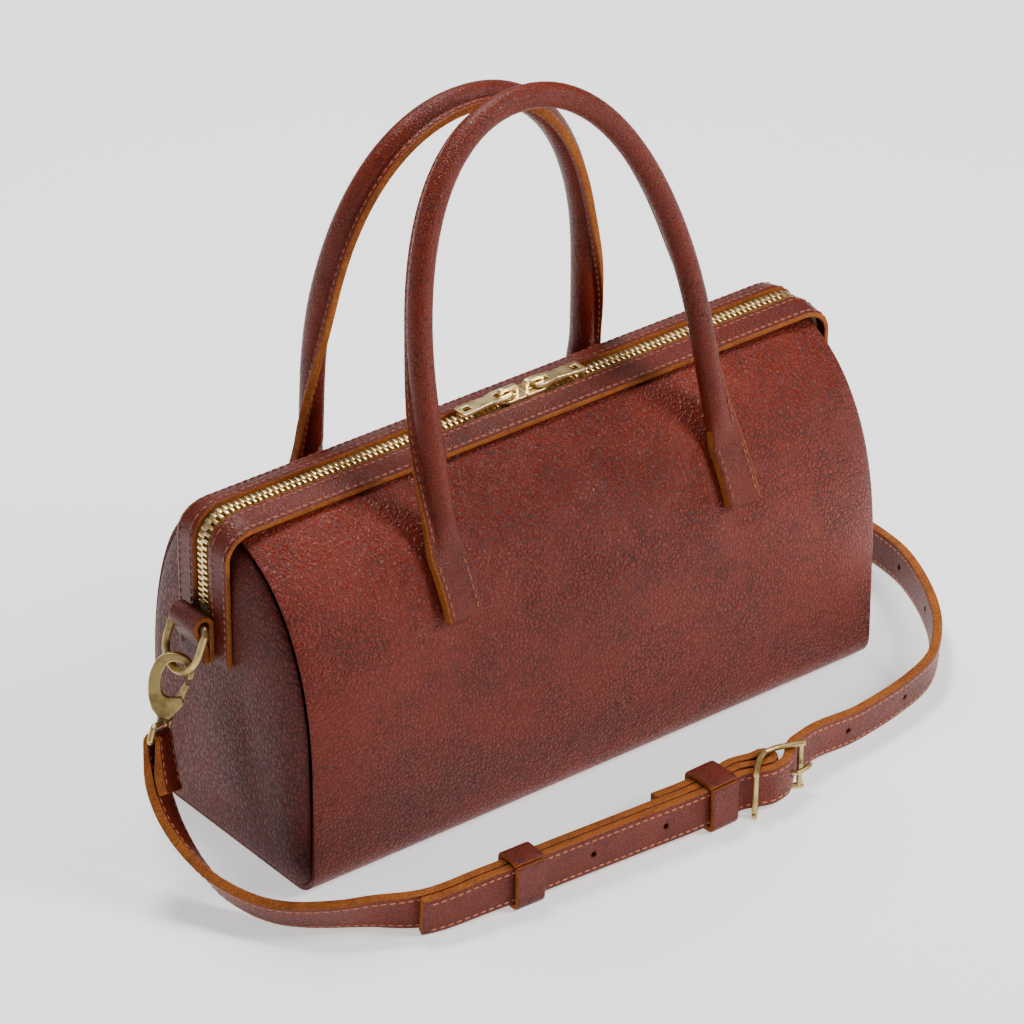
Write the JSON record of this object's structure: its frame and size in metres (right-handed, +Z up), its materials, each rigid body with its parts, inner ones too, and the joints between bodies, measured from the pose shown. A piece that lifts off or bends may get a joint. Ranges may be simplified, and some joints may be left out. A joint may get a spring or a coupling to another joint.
{
  "type": "boston bag",
  "caption": "Small zip-top boston bag of pebbled leather with a pair of rolled handles and a buckled shoulder strap on swivel clasps.",
  "frame": {"origin": "on the ground under the middle of the bag's bottom", "axes": "+X along the bag, to the right seen from its front, +Y to its back, +Z up"},
  "size_m": [0.3675, 0.2557, 0.2713],
  "materials": {
    "panel_leather": "pebbled, glossy, reddish brown",
    "end_leather": "pebbled, darker brown",
    "strip_leather": "pebbled, with raw amber edges",
    "handle_leather": "pebbled, rolled and sewn",
    "strap_leather": "pebbled, edge-stitched, raw amber edges",
    "zip_tape": "woven gold tape",
    "zip_metal": "polished light gilt",
    "aged_brass": "satin, aged"
  },
  "bodies": {
    "bag": {"body_panel": "panel_leather", "end_panel_left": "end_leather", "end_panel_right": "end_leather", "zip_strip_front": "strip_leather", "zip_strip_back": "strip_leather", "zip_tape": "zip_tape", "zip_chain": "zip_metal", "handle_front": "handle_leather", "handle_back": "handle_leather", "slider_left": "zip_metal", "ring_loop_left": "strip_leather", "d_ring_left": "aged_brass", "clasp_swivel_left": "aged_brass", "slider_right": "zip_metal", "ring_loop_right": "strip_leather", "d_ring_right": "aged_brass", "clasp_swivel_right": "aged_brass", "strap_short": "strap_leather", "strap_long": "strap_leather", "keeper_fixed": "strap_leather", "keeper_sliding": "strap_leather", "buckle_frame": "aged_brass", "buckle_tongue": "aged_brass"},
    "gate_left": {"clasp_gate_left": "aged_brass"},
    "gate_right": {"clasp_gate_right": "aged_brass"},
    "hook_left": {"clasp_hook_left": "aged_brass"},
    "hook_right": {"clasp_hook_right": "aged_brass"},
    "pull_left": {"pull_left": "zip_metal"},
    "pull_right": {"pull_right": "zip_metal"}
  },
  "joints": [
    {"name": "pull_left_hinge", "type": "hinge", "parent": "bag", "child": "pull_left", "pos_m": [-0.0023, 0.0047, 0.14445], "axis": [0, 1, 0], "range_deg": [0, 95]},
    {"name": "pull_right_hinge", "type": "hinge", "parent": "bag", "child": "pull_right", "pos_m": [0.0099, 0.0047, 0.14445], "axis": [0, -1, 0], "range_deg": [0, 95]},
    {"name": "clasp_left_swivel", "type": "hinge", "parent": "bag", "child": "hook_left", "pos_m": [-0.16376, 0.00298, 0.06485], "axis": [-0.394, -0.0918, -0.9145], "range_deg": [-22, 0]},
    {"name": "clasp_left_gate", "type": "hinge", "parent": "hook_left", "child": "gate_left", "pos_m": [-0.15832, 0.00125, 0.07061], "axis": [-0.5821, -0.7451, 0.3256], "range_deg": [0, 18], "stiffness_Nm_per_rad": 0.0004, "springref_deg": -5.73},
    {"name": "clasp_right_swivel", "type": "hinge", "parent": "bag", "child": "hook_right", "pos_m": [0.16376, 0.00642, 0.06485], "axis": [0.394, 0.0918, -0.9145], "range_deg": [-22, 0]},
    {"name": "clasp_right_gate", "type": "hinge", "parent": "hook_right", "child": "gate_right", "pos_m": [0.15832, 0.00815, 0.07061], "axis": [0.5821, 0.7451, 0.3256], "range_deg": [0, 18], "stiffness_Nm_per_rad": 0.0004, "springref_deg": -5.73}
  ]
}
